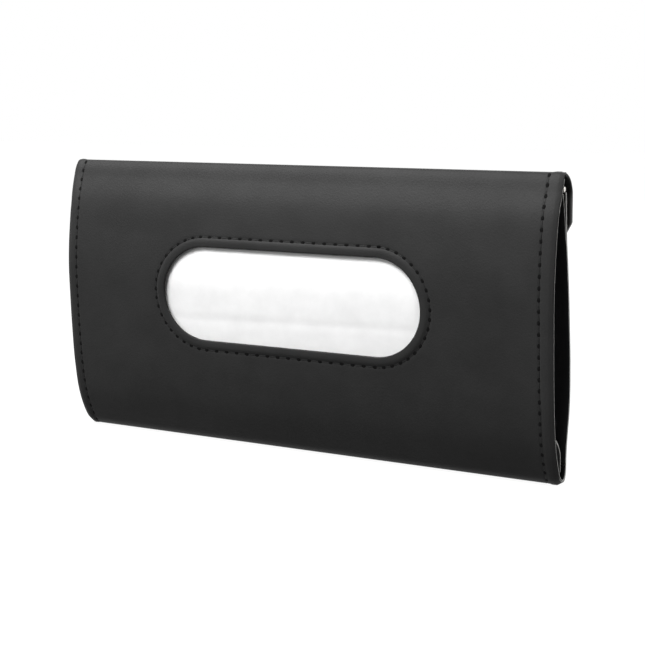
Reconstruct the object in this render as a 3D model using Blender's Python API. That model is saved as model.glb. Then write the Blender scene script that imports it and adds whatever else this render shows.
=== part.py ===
"""A sun-visor tissue case: one wrap of black PU leather over thin board, standing upright, flap closed.

The wrap runs from the flap's tip over the roof to the top crease, down the bulged front with its
oval opening, round the bottom fold and up the back. Each part of it is cover, board and lining.
X is the case's length, -Y its front, +Z up. The origin is under the middle of the case.
"""

import math

import bmesh
import bpy
import numpy as np
from mathutils import Vector

# Driving sizes of the case, in metres
CASE_LENGTH = 0.230
CASE_HEIGHT = 0.125
WRAP_DEPTH = 0.0246  # from the front's bulge to the flat of the back

# Layers of the wrap
COVER_THICKNESS = 0.0008
BOARD_THICKNESS = 0.0006
LINING_THICKNESS = 0.0004
LAYER_GAP = 0.00025
SEAM_ALLOWANCE = 0.0075  # the board ends this far inside the two raw ends
PINCH_RUN = 0.0015  # over this length the lining comes down from the board to the cover

# Oval opening in the front
OPENING_LENGTH = 0.1222
OPENING_HEIGHT = 0.0410
OPENING_OFFSET_X = -0.0010
OPENING_CENTRE_SHARE = 0.5464  # of the case's height
LIP_THICKNESS = 0.0008

# Folds and hinge lines
CREASE_BACK_OFF = 0.0009  # each cover ends this far from the top crease, so that the corners clear
FOLD_BACK_OFF = 0.00025  # and this far from the bottom hinge line
LINING_BACK_OFF = 0.0030  # linings stay this far from a hinge line
FRONT_BOARD_DROP = 0.0140  # the front's board ends this far below the crease, so that it can fold

# Flap. A drop is a height below the top crease.
FLAP_DROP = 0.0286
FLAP_THICKNESS = 0.0033
ROOF_THICKNESS = 0.00145
FLAP_OVERHANG = 0.0010
FLAP_CORNER_X = 0.0045
FLAP_CORNER_Z = 0.0083
FLAP_RIM = 0.0016  # width of the turned edge
FLAP_BOARD_THICKNESS = 0.0014
FLAP_BOARD_DROP = 0.0115
ROOF_DROP = 0.0080  # over this height the roof turns down into the flap
RECESS_OVERRUN = 0.0120

# Magnets and their keeper
MAGNET_RADIUS = 0.0055
MAGNET_THICKNESS = 0.0011
MAGNET_END_GAP = 0.0400  # from the case's end to the magnet's middle
MAGNET_DROP = 0.0200
KEEPER_THICKNESS = 0.0006
KEEPER_END_GAP = 0.0015
KEEPER_FOOT_DROP = 0.0210
KEEPER_HEAD_DROP = 0.0063

# Back panel
BACK_DROP = 0.0080
BACK_JOIN_DROP = 0.0260  # above this line cover and lining part
BACK_MOUTH_GAP = 0.0025  # how far they have parted at the top

# Elastic bands
BAND_WIDTH = 0.0250
BAND_THICKNESS = 0.0012
BAND_END_GAP = 0.0550  # from the case's end to the band's middle
BAND_BOTTOM_Z = 0.0125
BAND_DROP = 0.0320
BAND_CHANNEL_DEPTH = 0.00035
BAND_SIDE_GAP = 0.0004

# Inner retaining strip, sewn along the lower inside of the front
STRIP_THICKNESS = 0.0007
STRIP_BOTTOM_Z = 0.0045
STRIP_TOP_Z = 0.0190
STRIP_BELLY = 0.0030

# Tissues
TISSUE_END_GAP = 0.0150
TISSUE_BOTTOM_Z = 0.0210
TISSUE_DROP = 0.0240
TISSUE_CLEARANCE = 0.0005
TISSUE_EDGE_ROUND = 0.0018
SHEET_THICKNESS = 0.0005
SHEET_SIDE_MARGIN = 0.0169  # past the opening's ends
SHEET_LOWER_MARGIN = 0.0118  # below the opening
SHEET_DROP = 0.0250
SHEET_WAVE = 0.00025
SHEET_HALF_WAVES = 3

# Finish of the meshes
FRONT_STEPS = 44
FOLD_STEPS = 10
BACK_STEPS = 30
FLAP_STEPS = 26
OVAL_STEPS = 20  # per round end
DISC_STEPS = 32
CUTTER_REACH = 0.0300  # cutters run past what they cut by this much
OVERLAP = 0.0001  # pieces of one solid reach into each other by this much

HALF_LENGTH = CASE_LENGTH / 2
OPENING_CENTRE_Z = CASE_HEIGHT * OPENING_CENTRE_SHARE
FLAP_TIP_Z = CASE_HEIGHT - FLAP_DROP
ROOF_END_Z = CASE_HEIGHT - ROOF_DROP
BACK_TOP_Z = CASE_HEIGHT - BACK_DROP
SANDWICH = COVER_THICKNESS + BOARD_THICKNESS + LINING_THICKNESS + 2 * LAYER_GAP
LINING_AT = SANDWICH - LINING_THICKNESS
PINCHED_AT = COVER_THICKNESS + LAYER_GAP

# Outer face of the wrap: (share of WRAP_DEPTH back from the bulge, share of CASE_HEIGHT)
FRONT_SHARES = [
    (0.480, 1.000), (0.309, 0.938), (0.154, 0.872), (0.045, 0.752), (0.000, 0.624), (0.022, 0.500),
    (0.060, 0.376), (0.122, 0.248), (0.252, 0.125), (0.410, 0.055), (0.545, 0.015), (0.675, 0.000),
]
FOLD_SHARES = [(0.772, 0.000), (0.846, 0.016), (0.874, 0.040), (0.878, 0.058)]
LOWER_BACK_SHARES = [(0.878, 0.058), (0.892, 0.112), (0.948, 0.170), (1.000, 0.220)]
UPPER_BACK_SHARES = [
    (1.000, 0.384), (0.930, 0.500), (0.850, 0.608), (0.755, 0.712), (0.668, 0.792), (0.622, 0.872),
    (0.588, 0.936),
]
FLAT_MIDDLE_SHARE = (LOWER_BACK_SHARES[-1][1] + UPPER_BACK_SHARES[0][1]) / 2

# Flap: (share of WRAP_DEPTH that it stands off the back panel, share of FLAP_DROP)
FLAP_SHARES = [(0.023, 1.000), (0.036, 0.804), (0.056, 0.559), (0.074, 0.350)]

# Roof: (share of its depth behind the crease, share of FLAP_DROP)
ROOF_SHARES = [(0.954, 0.219), (0.785, 0.109), (0.446, 0.035), (0.000, 0.000)]

# Directions of the wrap, as (back, up)
DOWN_THE_FRONT = (-0.42, -0.91)
BACKWARDS = (1.00, 0.00)
UPWARDS = (0.00, 1.00)
UP_THE_BACK = (-0.11, 0.99)
UP_THE_FLAP = (-0.10, 0.99)
TO_THE_CREASE = (-0.98, 0.18)


def clear_scene():
    for obj in list(bpy.data.objects):
        bpy.data.objects.remove(obj, do_unlink=True)


# Outlines in the YZ plane

def smooth_through(points, start_tangent, end_tangent, steps):
    """A curve through the points, with these unit tangents at its ends, sampled evenly in each span."""
    points = np.array(points, float)
    runs = np.linalg.norm(np.diff(points, axis=0), axis=1)
    slopes = np.diff(points, axis=0) / runs[:, None]
    tangents = np.empty_like(points)
    tangents[0], tangents[-1] = start_tangent, end_tangent
    weight = (runs[:-1] / (runs[:-1] + runs[1:]))[:, None]
    tangents[1:-1] = slopes[:-1] * (1 - weight) + slopes[1:] * weight
    samples = []
    total = runs.sum()
    for here, run in enumerate(runs):
        count = max(2, round(steps * run / total))
        t = np.linspace(0, 1, count + 1)[:-1, None]
        a, b = points[here], points[here + 1]
        ta, tb = tangents[here] * run, tangents[here + 1] * run
        samples.append(
            (2 * t**3 - 3 * t**2 + 1) * a + (t**3 - 2 * t**2 + t) * ta
            + (3 * t**2 - 2 * t**3) * b + (t**3 - t**2) * tb
        )
    return np.vstack(samples + [points[-1:]])


def places(shares):
    return [(depth * WRAP_DEPTH, height * CASE_HEIGHT) for depth, height in shares]


class Path:
    """The outer face of one stretch of the wrap. Depth is measured inwards, to the left of its run."""

    def __init__(self, points):
        self.points = np.array(points, float)
        runs = np.linalg.norm(np.diff(self.points, axis=0), axis=1)
        self.stations = np.concatenate([[0], np.cumsum(runs)])
        self.length = self.stations[-1]
        along = np.gradient(self.points, self.stations, axis=0)
        self.normals = np.stack([-along[:, 1], along[:, 0]], axis=1)

    def inward(self, station):
        """The unit direction into the case, square to the outer face."""
        normal = np.array([np.interp(station, self.stations, self.normals[:, k]) for k in (0, 1)])
        return normal / np.linalg.norm(normal)

    def at(self, station, depth):
        """The point this far inside the outer face, at this distance along it."""
        point = [np.interp(station, self.stations, self.points[:, k]) for k in (0, 1)]
        return np.array(point) + self.inward(station) * depth

    def station_at_height(self, height):
        """Where the path passes this height, on its way down if it starts high, else on its way up."""
        heights = self.points[:, 1]
        if heights[0] > heights[-1]:
            lowest = int(heights.argmin()) + 1
            return float(np.interp(-height, -heights[:lowest], self.stations[:lowest]))
        return float(np.interp(height, heights, self.stations))

    def between(self, start, end):
        """The sampled stations from start to end, both included."""
        inside = self.stations[(self.stations > start + OVERLAP) & (self.stations < end - OVERLAP)]
        return [start, *inside, end]


def flap_points(back):
    """The flap's outer face, which rests near the back panel, and the roof from there to the crease."""
    points = []
    for gap, drop in FLAP_SHARES:
        height = CASE_HEIGHT - drop * FLAP_DROP
        behind, _ = back.at(back.station_at_height(height), 0)
        points.append((behind + FLAP_THICKNESS + gap * WRAP_DEPTH, height))
    crease = FRONT_SHARES[0][0] * WRAP_DEPTH
    roof_depth = points[-1][0] - crease
    for depth, drop in ROOF_SHARES:
        points.append((crease + depth * roof_depth, CASE_HEIGHT - drop * FLAP_DROP))
    return points


def make_paths():
    """The wrap's three stretches, moved so that the case with its bands is centred on Y."""
    front = smooth_through(places(FRONT_SHARES), DOWN_THE_FRONT, BACKWARDS, FRONT_STEPS)
    fold = smooth_through(places(FOLD_SHARES), BACKWARDS, UPWARDS, FOLD_STEPS)
    lower = smooth_through(places(LOWER_BACK_SHARES), UPWARDS, UPWARDS, BACK_STEPS // 3)
    upper = smooth_through(places(UPPER_BACK_SHARES), UPWARDS, UP_THE_BACK, BACK_STEPS)
    back = np.vstack([lower, upper])
    flap = smooth_through(flap_points(Path(back)), UP_THE_FLAP, TO_THE_CREASE, FLAP_STEPS)
    outermost = WRAP_DEPTH + BAND_THICKNESS + LAYER_GAP - BAND_CHANNEL_DEPTH
    shift = np.array([-(front[:, 0].min() + outermost) / 2, 0])
    return {
        "front": Path(np.vstack([front, fold]) + shift),
        "back": Path(back + shift),
        "flap": Path(flap + shift),
    }


def ring_between(path, stations, near, far):
    """A closed outline: out along the near depth, and home along the far one."""
    there = [path.at(station, near(station)) for station in stations]
    home = [path.at(station, far(station)) for station in reversed(stations)]
    return there + home


def constant(value):
    return lambda station: value


def ramp(start, end, low, high):
    """A depth that grows from low at one station to high at another, smoothly."""

    def depth(station):
        t = min(max((station - start) / (end - start), 0), 1)
        return low + (high - low) * t * t * (3 - 2 * t)

    return depth


# Solids

def new_object(name, mesh_builder, material):
    mesh = bpy.data.meshes.new(name)
    obj = bpy.data.objects.new(name, mesh)
    bpy.context.collection.objects.link(obj)
    built = bmesh.new()
    mesh_builder(built)
    bmesh.ops.recalc_face_normals(built, faces=built.faces)
    built.to_mesh(mesh)
    built.free()
    if material:
        mesh.materials.append(material)
    return obj


def loft(name, sections, material=None):
    """A solid through closed outlines, each given as (x, its points in Y and Z)."""

    def build(built):
        loops = []
        for x, outline in sections:
            verts = [built.verts.new((x, y, z)) for y, z in outline]
            edges = [built.edges.new((a, b)) for a, b in zip(verts, verts[1:] + verts[:1])]
            loops.append((verts, edges))
        for (_, first), (_, second) in zip(loops, loops[1:]):
            bmesh.ops.bridge_loops(built, edges=first + second)
        for verts, _ in (loops[0], loops[-1]):
            built.faces.new(verts)

    return new_object(name, build, material)


def strip(name, path, span, near, far, half_length, material=None, centre=0.0):
    """One layer of the wrap, the same all along the case's length."""
    stations = path.between(*span)
    outline = ring_between(path, stations, near, far)
    return loft(name, [(centre - half_length, outline), (centre + half_length, outline)], material)


def pinched(name, path, span, near, lift, material):
    """A lining: over the board in the middle, and closer to the cover by its lift at the two raw ends."""
    stations = path.between(*span)
    middle = ring_between(path, stations, near, lambda s: near(s) + LINING_THICKNESS)

    def end_near(station):
        return max(near(station) - lift(station), PINCHED_AT)

    end = ring_between(path, stations, end_near, lambda s: end_near(s) + LINING_THICKNESS)
    board_edge = HALF_LENGTH - SEAM_ALLOWANCE + LAYER_GAP
    rows = [(HALF_LENGTH, end), (board_edge + PINCH_RUN, end), (board_edge, middle)]
    sections = [(-x, outline) for x, outline in rows] + [(x, outline) for x, outline in reversed(rows)]
    return loft(name, sections, material)


def prism(name, outline, near_y, far_y, material=None):
    """An outline in X and Z, pulled out along Y."""

    def build(built):
        verts = [built.verts.new((x, near_y, z)) for x, z in outline]
        face = built.faces.new(verts)
        pulled = bmesh.ops.extrude_face_region(built, geom=[face])
        moved = [item for item in pulled["geom"] if isinstance(item, bmesh.types.BMVert)]
        bmesh.ops.translate(built, verts=moved, vec=(0, far_y - near_y, 0))

    return new_object(name, build, material)


def as_helper(obj):
    obj.hide_render = True
    obj.display_type = "WIRE"
    return obj


def combine(obj, other, operation):
    modifier = obj.modifiers.new(f"{operation.lower()} {other.name}", "BOOLEAN")
    modifier.operation = operation
    modifier.object = as_helper(other)
    modifier.solver = "EXACT"


def oval(margin):
    """The opening's outline, grown by a margin: straight top and bottom with round ends."""
    radius = OPENING_HEIGHT / 2 + margin
    straight = (OPENING_LENGTH - OPENING_HEIGHT) / 2
    outline = []
    for side in (1, -1):
        for step in range(OVAL_STEPS + 1):
            turn = math.pi * (step / OVAL_STEPS - 0.5)
            x = side * (straight + radius * math.cos(turn))
            z = side * radius * math.sin(turn)
            outline.append((OPENING_OFFSET_X + x, OPENING_CENTRE_Z + z))
    return outline


def oval_cutter(name, margin):
    return prism(name, oval(margin), -WRAP_DEPTH - CUTTER_REACH, 0)


def principled(name, colour, roughness, metallic=0.0):
    material = bpy.data.materials.new(name)
    material.use_nodes = True
    shader = material.node_tree.nodes["Principled BSDF"]
    shader.inputs["Base Color"].default_value = (*colour, 1)
    shader.inputs["Roughness"].default_value = roughness
    shader.inputs["Metallic"].default_value = metallic
    return material


def make_materials():
    return {
        "leather": principled("black_pu_leather", (0.045, 0.045, 0.045), 0.55),
        "lining": principled("black_lining_cloth", (0.020, 0.020, 0.021), 0.85),
        "board": principled("grey_fibre_board", (0.22, 0.21, 0.19), 0.90),
        "tissue": principled("white_tissue", (0.90, 0.90, 0.90), 0.95),
        "steel": principled("nickelled_steel", (0.75, 0.74, 0.72), 0.28, 1.0),
        "magnet": principled("nickelled_magnet", (0.62, 0.61, 0.60), 0.30, 1.0),
        "elastic": principled("black_elastic", (0.025, 0.025, 0.026), 0.90),
    }


# The front, the body that everything else hangs on

def make_front(path, materials):
    cover_span = (CREASE_BACK_OFF, path.length - FOLD_BACK_OFF)
    board_half = HALF_LENGTH - SEAM_ALLOWANCE

    cover = strip(
        "front_cover", path, cover_span, constant(0), constant(COVER_THICKNESS), HALF_LENGTH,
        materials["leather"],
    )
    lip_span = [path.station_at_height(z) for z in (CASE_HEIGHT - LINING_BACK_OFF, LINING_BACK_OFF)]
    lip = strip(
        "opening_lip", path, lip_span, constant(OVERLAP), constant(SANDWICH), HALF_LENGTH,
    )
    combine(lip, oval_cutter("opening_lip_outline", LIP_THICKNESS), "INTERSECT")
    combine(cover, lip, "UNION")
    combine(cover, oval_cutter("opening_outline", 0), "DIFFERENCE")

    clear_of_lip = LIP_THICKNESS + LAYER_GAP
    board_top = path.station_at_height(CASE_HEIGHT - FRONT_BOARD_DROP)
    board_span = (board_top, path.station_at_height(STRIP_BOTTOM_Z))
    board_at = COVER_THICKNESS + LAYER_GAP
    board = strip(
        "front_board", path, board_span, constant(board_at), constant(board_at + BOARD_THICKNESS),
        board_half, materials["board"],
    )
    combine(board, oval_cutter("board_window", clear_of_lip), "DIFFERENCE")

    lining = pinched(
        "front_lining", path, (LINING_BACK_OFF, path.length - LINING_BACK_OFF),
        ramp(board_top - 2 * PINCH_RUN, board_top - LAYER_GAP, PINCHED_AT, LINING_AT),
        constant(LINING_AT - PINCHED_AT), materials["lining"],
    )
    combine(lining, oval_cutter("lining_window", clear_of_lip), "DIFFERENCE")


def make_retaining_strip(path, materials):
    """A narrow strip that bellies off the lining and keeps the tissues' lower edge in."""
    start, end = (path.station_at_height(z) for z in (STRIP_TOP_Z, STRIP_BOTTOM_Z))
    seat = SANDWICH + LAYER_GAP

    def belly(station):
        return seat + STRIP_BELLY * math.sin(math.pi * (station - start) / (end - start))

    return strip(
        "retaining_strip", path, (start, end), belly, lambda s: belly(s) + STRIP_THICKNESS,
        HALF_LENGTH - LAYER_GAP, materials["leather"],
    )


# The flap: roof and closing flap in one, hinged along the top crease

def flap_outline(inset):
    """The flap seen from behind: a little wider than the case, its lower corners cut off."""
    half = HALF_LENGTH + FLAP_OVERHANG - inset
    crease_half = HALF_LENGTH - inset
    tip = FLAP_TIP_Z + inset
    slope = math.atan2(FLAP_CORNER_Z, FLAP_CORNER_X)
    corner_top = tip + FLAP_CORNER_Z - inset * (1 - math.cos(slope)) / math.sin(slope)
    corner_in = half - FLAP_CORNER_X + inset * math.tan(slope / 2)
    above = CASE_HEIGHT + CUTTER_REACH
    side = [
        (crease_half, above), (crease_half, CASE_HEIGHT), (half, ROOF_END_Z), (half, corner_top),
        (corner_in, tip),
    ]
    return side + [(-x, z) for x, z in reversed(side)]


def flap_prism(name, inset):
    return prism(name, flap_outline(inset), -CUTTER_REACH, CUTTER_REACH)


def disc(name, centre, axis, radius, thickness, material=None):
    """A round plate whose middle is at centre and whose faces look along axis."""

    def build(built):
        bmesh.ops.create_cone(
            built, cap_ends=True, segments=DISC_STEPS, radius1=radius, radius2=radius, depth=thickness,
        )
        turn = Vector(axis).to_track_quat("Z", "Y").to_matrix()
        bmesh.ops.rotate(built, verts=built.verts, cent=(0, 0, 0), matrix=turn)
        bmesh.ops.translate(built, verts=built.verts, vec=centre)

    return new_object(name, build, material)


def make_flap(path, materials):
    reach = HALF_LENGTH + CUTTER_REACH
    crease = path.length
    roof_from = path.station_at_height(ROOF_END_Z)
    board_to = path.station_at_height(CASE_HEIGHT - FLAP_BOARD_DROP)
    thickness = ramp(board_to, roof_from, FLAP_THICKNESS, ROOF_THICKNESS)
    crease_from = crease - LINING_BACK_OFF
    skin = ramp(crease_from, crease_from + LAYER_GAP, 1, 0)

    def body_depth(station):
        return COVER_THICKNESS + (thickness(station) - COVER_THICKNESS) * skin(station)

    cover = strip(
        "flap_cover", path, (0, crease - CREASE_BACK_OFF), constant(0), body_depth, reach,
        materials["leather"],
    )
    combine(cover, flap_prism("flap_outline", 0), "INTERSECT")
    recess = strip(
        "flap_recess", path, (0, crease_from), constant(COVER_THICKNESS),
        lambda s: thickness(s) + RECESS_OVERRUN, reach,
    )
    combine(recess, flap_prism("flap_recess_outline", FLAP_RIM), "INTERSECT")
    combine(cover, recess, "DIFFERENCE")

    fit = FLAP_RIM + LAYER_GAP
    lining = strip(
        "flap_lining", path, (0, crease_from - LAYER_GAP),
        lambda s: thickness(s) - LINING_THICKNESS, thickness, reach, materials["lining"],
    )
    combine(lining, flap_prism("flap_lining_outline", fit), "INTERSECT")

    board_at = COVER_THICKNESS + LAYER_GAP
    board = strip(
        "flap_board", path, (0, board_to), constant(board_at),
        constant(board_at + FLAP_BOARD_THICKNESS), reach, materials["board"],
    )
    combine(board, flap_prism("flap_board_outline", fit), "INTERSECT")

    station = path.station_at_height(CASE_HEIGHT - MAGNET_DROP)
    y, z = path.at(station, board_at + FLAP_BOARD_THICKNESS / 2)
    axis = (0, *path.inward(station))
    for side, name in ((-1, "left"), (1, "right")):
        centre = (side * (HALF_LENGTH - MAGNET_END_GAP), y, z)
        disc(f"flap_magnet_{name}", centre, axis, MAGNET_RADIUS, MAGNET_THICKNESS, materials["magnet"])
        hole = disc(
            f"magnet_hole_{name}", centre, axis, MAGNET_RADIUS + LAYER_GAP,
            FLAP_BOARD_THICKNESS + COVER_THICKNESS,
        )
        combine(board, hole, "DIFFERENCE")


# The back panel, hinged along the bottom fold

def make_back(path, materials):
    top = path.station_at_height(BACK_TOP_Z)
    join = path.station_at_height(CASE_HEIGHT - BACK_JOIN_DROP)
    parting = ramp(join, top + (top - join), 0, 2 * BACK_MOUTH_GAP)

    cover = strip(
        "back_cover", path, (FOLD_BACK_OFF, top), constant(0), constant(COVER_THICKNESS),
        HALF_LENGTH, materials["leather"],
    )
    band_span = [path.station_at_height(z) for z in (BAND_BOTTOM_Z, CASE_HEIGHT - BAND_DROP)]
    channel_span = (band_span[0] - BAND_SIDE_GAP, band_span[1] + BAND_SIDE_GAP)
    floor = BAND_CHANNEL_DEPTH
    for side, name in ((-1, "left"), (1, "right")):
        centre = side * (HALF_LENGTH - BAND_END_GAP)
        channel = strip(
            f"band_channel_{name}", path, channel_span, constant(-BAND_THICKNESS), constant(floor),
            BAND_WIDTH / 2 + BAND_SIDE_GAP, centre=centre,
        )
        combine(cover, channel, "DIFFERENCE")
        strip(
            f"elastic_band_{name}", path, band_span, constant(floor - LAYER_GAP - BAND_THICKNESS),
            constant(floor - LAYER_GAP), BAND_WIDTH / 2, materials["elastic"], centre=centre,
        )

    board_at = COVER_THICKNESS + LAYER_GAP
    strip(
        "back_board", path, (LINING_BACK_OFF, join), constant(board_at),
        constant(board_at + BOARD_THICKNESS), HALF_LENGTH - SEAM_ALLOWANCE, materials["board"],
    )
    pinched(
        "back_lining", path, (LINING_BACK_OFF, top), lambda s: LINING_AT + parting(s),
        ramp(join - 2 * PINCH_RUN, join + PINCH_RUN, LINING_AT - PINCHED_AT, 0), materials["lining"],
    )

    low = path.station_at_height(CASE_HEIGHT - KEEPER_FOOT_DROP)
    foot = path.at(low, (COVER_THICKNESS + LINING_AT + parting(low)) / 2)
    head_depth = (COVER_THICKNESS + LINING_AT + parting(top)) / 2
    head = np.array([path.at(top, head_depth)[0], CASE_HEIGHT - KEEPER_HEAD_DROP])
    keeper = Path([foot, head])
    strip(
        "steel_keeper", keeper, (0, keeper.length), constant(-KEEPER_THICKNESS / 2),
        constant(KEEPER_THICKNESS / 2), HALF_LENGTH - KEEPER_END_GAP, materials["steel"],
    )


# The tissues

def make_tissues(front, back, materials):
    """A stack that fills the case like a lens, and the sheet that shows in the opening."""
    sheet_at = SANDWICH + TISSUE_CLEARANCE
    stack_at = sheet_at + SHEET_THICKNESS + TISSUE_CLEARANCE + SHEET_WAVE
    tissue_top = CASE_HEIGHT - TISSUE_DROP
    front_span = [front.station_at_height(z) for z in (tissue_top, TISSUE_BOTTOM_Z)]
    back_span = [back.station_at_height(z) for z in (TISSUE_BOTTOM_Z, tissue_top)]
    facing = [front.at(s, stack_at) for s in front.between(*front_span)]
    behind = [back.at(s, SANDWICH + TISSUE_CLEARANCE) for s in back.between(*back_span)]

    def outline(inset):
        """The stack's section, pulled in by this much all round for the rounded ends."""
        points = np.array(facing + behind)
        middle = points.mean(axis=0)
        spans = points.max(axis=0) - points.min(axis=0)
        return middle + (points - middle) * (1 - 2 * inset / spans)

    half = HALF_LENGTH - TISSUE_END_GAP
    rows = [(half, outline(TISSUE_EDGE_ROUND)), (half - TISSUE_EDGE_ROUND, outline(0))]
    loft(
        "tissue_stack",
        [(-x, points) for x, points in rows] + [(x, points) for x, points in reversed(rows)],
        materials["tissue"],
    )

    sheet_bottom = OPENING_CENTRE_Z - OPENING_HEIGHT / 2 - SHEET_LOWER_MARGIN
    top, bottom = (front.station_at_height(z) for z in (CASE_HEIGHT - SHEET_DROP, sheet_bottom))

    def near(station):
        waves = math.sin(SHEET_HALF_WAVES * math.pi * (station - top) / (bottom - top))
        return sheet_at + SHEET_WAVE * (1 + waves) / 2

    strip(
        "top_tissue", front, (top, bottom), near, lambda s: near(s) + SHEET_THICKNESS,
        OPENING_LENGTH / 2 + SHEET_SIDE_MARGIN, materials["tissue"], centre=OPENING_OFFSET_X,
    )


# Joints

def hang_on(name, pivot, children):
    """An empty on the hinge line, with the pieces that turn about it as its children."""
    hinge = bpy.data.objects.new(name, None)
    hinge.location = pivot
    bpy.context.collection.objects.link(hinge)
    for child in children:
        obj = bpy.data.objects[child]
        obj.parent = hinge
        obj.location = -Vector(pivot)
    return hinge


FLAP_PIECES = ["flap_cover", "flap_board", "flap_lining", "flap_magnet_left", "flap_magnet_right"]
BACK_PIECES = [
    "back_cover", "back_board", "back_lining", "steel_keeper", "elastic_band_left", "elastic_band_right",
]


def main():
    clear_scene()
    materials = make_materials()
    paths = make_paths()
    make_front(paths["front"], materials)
    make_retaining_strip(paths["front"], materials)
    make_flap(paths["flap"], materials)
    make_back(paths["back"], materials)
    make_tissues(paths["front"], paths["back"], materials)

    half_cover = COVER_THICKNESS / 2
    crease_y, crease_z = paths["flap"].at(paths["flap"].length, half_cover)
    fold_y, fold_z = paths["back"].at(0, half_cover)
    hang_on("flap_hinge", (0, crease_y, crease_z), FLAP_PIECES)
    hang_on("back_hinge", (0, fold_y, fold_z), BACK_PIECES)
    print(f"flap hinge at y {crease_y:.5f}, z {crease_z:.5f}")
    print(f"back hinge at y {fold_y:.5f}, z {fold_z:.5f}")
    flat_y, _ = paths["back"].at(paths["back"].station_at_height(CASE_HEIGHT * FLAT_MIDDLE_SHARE), 0)
    print(f"flat of the back at y {flat_y:.5f}")


if __name__ == "__main__":
    main()
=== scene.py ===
# %% [markdown]
# # A sun-visor tissue case
# The real case is a flat wallet of black PU leather that is strapped to a car's sun visor. Its CAD model
# already holds the sizes, the boards and the hinges. We could model the whole case again, but a cover over
# the CAD model keeps every piece where it belongs. So this lesson adds only what is soft: leather, cloth,
# thread and paper. The first step is to load the frame.

# %% Load the frame
import math

import bmesh
import bpy
import numpy as np
from mathutils import Matrix, Vector


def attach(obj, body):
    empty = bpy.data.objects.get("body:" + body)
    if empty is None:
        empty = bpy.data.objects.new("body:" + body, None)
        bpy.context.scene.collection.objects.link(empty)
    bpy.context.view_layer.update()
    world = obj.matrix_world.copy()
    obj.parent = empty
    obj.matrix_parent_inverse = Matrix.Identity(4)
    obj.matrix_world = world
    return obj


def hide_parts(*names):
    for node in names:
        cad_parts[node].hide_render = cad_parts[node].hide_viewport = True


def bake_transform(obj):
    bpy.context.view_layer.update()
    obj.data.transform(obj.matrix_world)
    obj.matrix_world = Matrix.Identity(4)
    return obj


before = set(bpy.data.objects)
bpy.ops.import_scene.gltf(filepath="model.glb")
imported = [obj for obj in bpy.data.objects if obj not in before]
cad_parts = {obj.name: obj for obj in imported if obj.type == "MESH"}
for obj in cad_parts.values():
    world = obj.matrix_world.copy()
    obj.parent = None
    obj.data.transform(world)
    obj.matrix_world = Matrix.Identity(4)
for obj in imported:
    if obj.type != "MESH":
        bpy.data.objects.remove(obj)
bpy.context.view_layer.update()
MM = 0.001


# %% [markdown]
# ## Colours and nodes
# A dyed leather is described by how it looks on a screen, so colours are written as hex values. They could
# be typed as the linear values that Blender works with, but those are hard to read, so one function turns
# them over. Another small function adds a node with its settings and its links.

# %% Helpers for colour and nodes
def linear(code):
    channels = [int(code[i:i + 2], 16) / 255 for i in (1, 3, 5)]
    return tuple(c / 12.92 if c <= 0.04045 else ((c + 0.055) / 1.055) ** 2.4 for c in channels)


def node(tree, kind, links=(), **settings):
    """Add a node; settings are its properties or, by their own name, its sockets."""
    made = tree.nodes.new(kind)
    for key, value in settings.items():
        if hasattr(made, key):
            setattr(made, key, value)
        else:
            made.inputs[key.replace("_", " ")].default_value = value
    for socket, source in links:
        tree.links.new(source, made.inputs[socket])
    return made


def start_material(name, colour, roughness, **sockets):
    material = bpy.data.materials.new(name)
    material.use_nodes = True
    tree = material.node_tree
    shader = tree.nodes["Principled BSDF"]
    shader.inputs["Base Color"].default_value = (*linear(colour), 1)
    shader.inputs["Roughness"].default_value = roughness
    for key, value in sockets.items():
        shader.inputs[key.replace("_", " ")].default_value = value
    return material, tree, shader


print("black leather in linear light:", [round(c, 4) for c in linear("#2c2c2c")])

# %% [markdown]
# ## Camera
# The case is seen from the front right and a little above, through a long lens, so it hardly narrows towards
# its far end. A camera could be turned by eye until it fits. Here its angles, distance and lens were worked
# out from the case's corners in the picture, and a small shift moves the view without turning it.

# %% Camera
TARGET = Vector((0.0091, 0.0, 0.0910))
AZIMUTH, ELEVATION = math.radians(27.24), math.radians(6.43)
DISTANCE = 0.563
PICTURE_WIDTH = 645  # in pixels, as are the three measures below
FOCAL_LENGTH = 1327
SHIFT_X, SHIFT_Y = 0.9, -77.1
SENSOR_WIDTH = 36

toward = Vector((
    math.sin(AZIMUTH) * math.cos(ELEVATION), -math.cos(AZIMUTH) * math.cos(ELEVATION), math.sin(ELEVATION),
))
lens = bpy.data.cameras.new("camera")
lens.sensor_width = SENSOR_WIDTH
lens.lens = SENSOR_WIDTH * FOCAL_LENGTH / PICTURE_WIDTH
lens.shift_x = SHIFT_X / PICTURE_WIDTH
lens.shift_y = SHIFT_Y / PICTURE_WIDTH
lens.clip_start = 0.01
camera = bpy.data.objects.new("camera", lens)
bpy.context.collection.objects.link(camera)
camera.location = TARGET + toward * DISTANCE
camera.rotation_euler = toward.to_track_quat("Z", "Y").to_euler()
bpy.context.scene.camera = camera
print("lens:", round(lens.lens, 1), "mm")

# %% [markdown]
# ## White paper
# The case stands on a sheet of white paper. Paper that is lit until it turns white would flood the black
# leather with light. So this floor is a dull grey that takes the shadow, and it glows as white paper only
# for the camera and for what is mirrored or seen through glass. The world behind it does the same.

# %% Floor and backdrop
PAPER_GLOW = 0.92
WORLD_LIGHT = 0.08


def seen_directly(tree):
    """1 for a ray from the camera, a mirror or glass, and 0 for the light that falls on things."""
    path = node(tree, "ShaderNodeLightPath")
    either = node(tree, "ShaderNodeMath", [(0, path.outputs["Is Camera Ray"]),
                                           (1, path.outputs["Is Glossy Ray"])], operation="MAXIMUM")
    any_of = node(tree, "ShaderNodeMath", [(0, either.outputs[0]),
                                           (1, path.outputs["Is Transmission Ray"])], operation="MAXIMUM")
    return any_of.outputs[0]


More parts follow.
